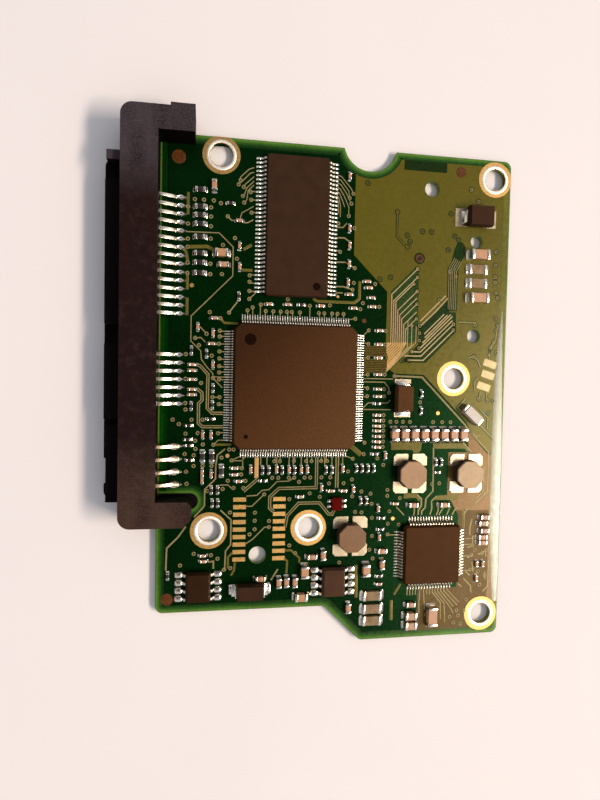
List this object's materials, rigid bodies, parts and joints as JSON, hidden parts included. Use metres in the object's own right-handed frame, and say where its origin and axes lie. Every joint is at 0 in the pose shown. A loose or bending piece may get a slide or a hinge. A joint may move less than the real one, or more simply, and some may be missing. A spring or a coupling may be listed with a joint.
{
  "type": "hard drive circuit board",
  "caption": "Green circuit board of a hard drive with an edge connector along one side, flat leaded chips, drum inductors and many small surface parts.",
  "frame": {"origin": "under the middle of the whole part, on the surface that the board's underside rests on", "axes": "+Z out of the component side, +Y towards the board edge with the round notch, +X away from the edge connector"},
  "size_m": [0.0658, 0.083, 0.006],
  "materials": {
    "green_laminate": "green solder mask over glass-fibre laminate",
    "gold_plate": "thin gold plating",
    "black_moulding": "fine rough moulding",
    "contact_metal": "plated and bright",
    "pin_metal": "plated, warm",
    "chip_moulding": "brown-black mould compound, satin",
    "memory_moulding": "black mould compound, satin",
    "tinned_metal": "bright tin",
    "ferrite": "sintered grey-brown ceramic",
    "copper_winding": "enamelled wire",
    "white_ceramic": "glazed",
    "red_moulding": "dark red, glossy",
    "tan_ceramic": "sintered, satin",
    "dark_glaze": "glass glaze"
  },
  "bodies": {
    "root": {"circuit_board": "green_laminate", "connector_housing": "black_moulding", "connector_shroud": "black_moulding", "controller_body": "chip_moulding", "controller_leads": "tinned_metal", "head_contact_pads": "gold_plate", "inductor_1_core": "ferrite", "inductor_1_terminals": "tinned_metal", "inductor_1_winding": "copper_winding", "inductor_2_core": "ferrite", "inductor_2_terminals": "tinned_metal", "inductor_2_winding": "copper_winding", "inductor_3_core": "ferrite", "inductor_3_terminals": "tinned_metal", "inductor_3_winding": "copper_winding", "jumper_pins": "pin_metal", "large_capacitor_bodies": "tan_ceramic", "large_capacitor_ends": "tinned_metal", "large_resistor_bodies": "dark_glaze", "large_resistor_ends": "tinned_metal", "left_chip_body": "memory_moulding", "left_chip_leads": "tinned_metal", "lower_diode_body": "memory_moulding", "lower_diode_terminals": "tinned_metal", "memory_body": "memory_moulding", "memory_leads": "tinned_metal", "middle_chip_body": "memory_moulding", "middle_chip_leads": "tinned_metal", "middle_diode_body": "memory_moulding", "middle_diode_terminals": "tinned_metal", "motor_contact_pads": "gold_plate", "motor_driver_body": "chip_moulding", "motor_driver_leads": "tinned_metal", "power_contacts": "contact_metal", "red_part_body": "red_moulding", "red_part_pads": "tinned_metal", "row_capacitor_bodies": "tan_ceramic", "row_capacitor_ends": "tinned_metal", "screw_hole_rings": "gold_plate", "shock_sensor_body": "white_ceramic", "shock_sensor_ends": "tinned_metal", "signal_contacts": "contact_metal", "small_capacitor_bodies": "tan_ceramic", "small_capacitor_ends": "tinned_metal", "small_resistor_bodies": "dark_glaze", "small_resistor_ends": "tinned_metal", "tiny_capacitor_bodies": "tan_ceramic", "tiny_capacitor_ends": "tinned_metal", "upper_diode_body": "memory_moulding", "upper_diode_terminals": "tinned_metal"}
  },
  "joints": []
}
